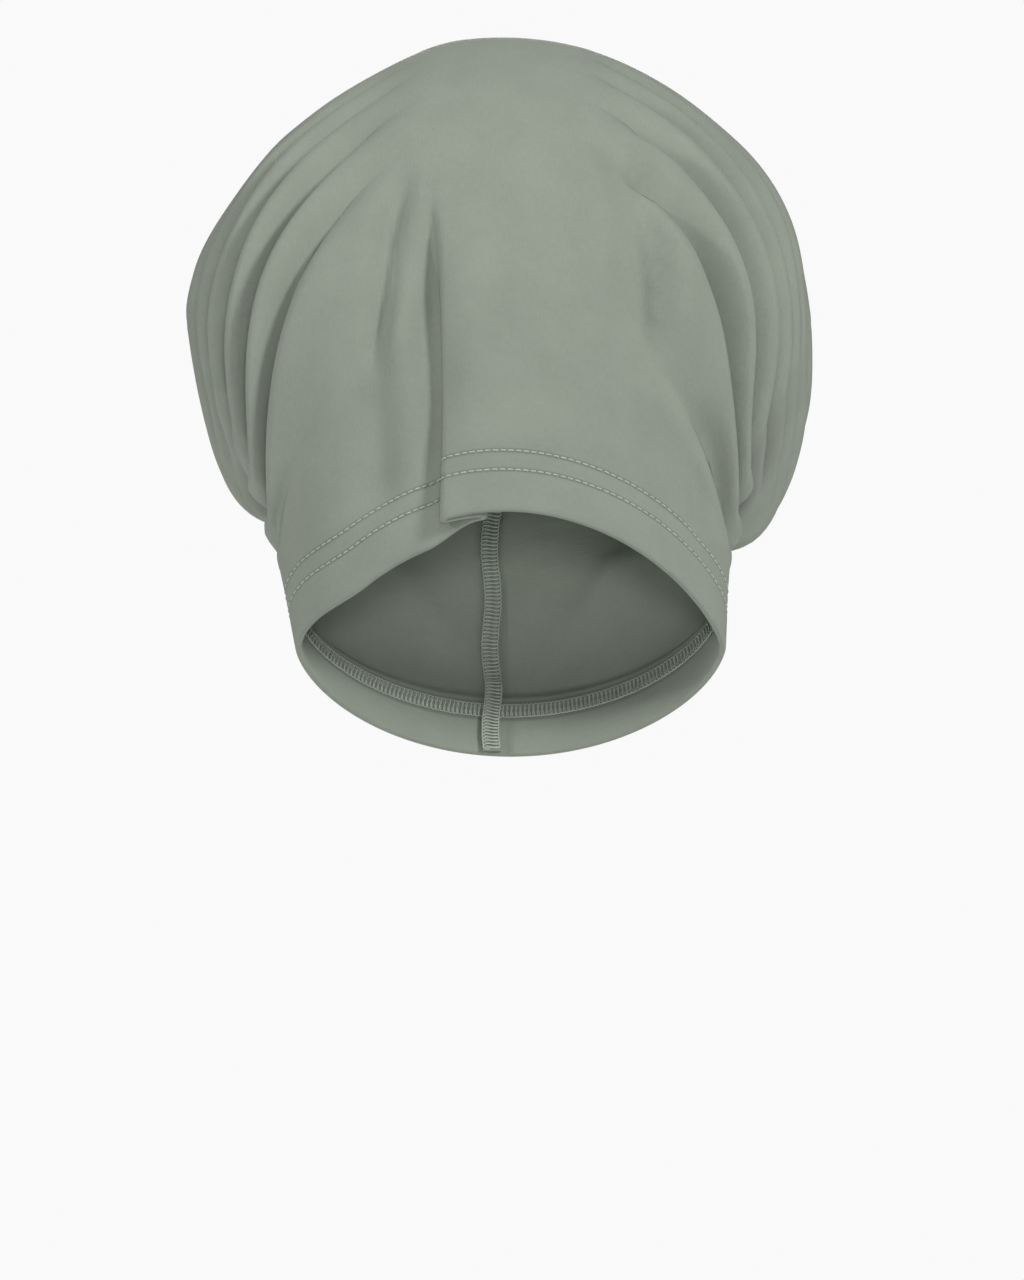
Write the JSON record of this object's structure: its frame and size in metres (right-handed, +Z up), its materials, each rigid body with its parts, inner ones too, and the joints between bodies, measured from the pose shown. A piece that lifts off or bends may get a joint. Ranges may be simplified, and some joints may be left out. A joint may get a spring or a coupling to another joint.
{
  "type": "open-ended head cap",
  "caption": "Soft knit tube cap, worn shape: stretched crown, gathered side folds, flattened tail with a lapped pleat, open at face and rear, one inside seam.",
  "frame": {"origin": "inside face of the crown, where the cap rests on the top of a head", "axes": "+Z up, +Y towards the face opening, -Y towards the hanging rear opening, +X to the wearer's right"},
  "size_m": [0.2159, 0.2436, 0.2501],
  "materials": {
    "jersey": "matt sage-green single jersey",
    "overlocked_seam": "matt overlocked jersey edge, same colour"
  },
  "bodies": {
    "root": {"jersey_tube": "jersey", "nape_seam": "overlocked_seam"}
  },
  "joints": []
}
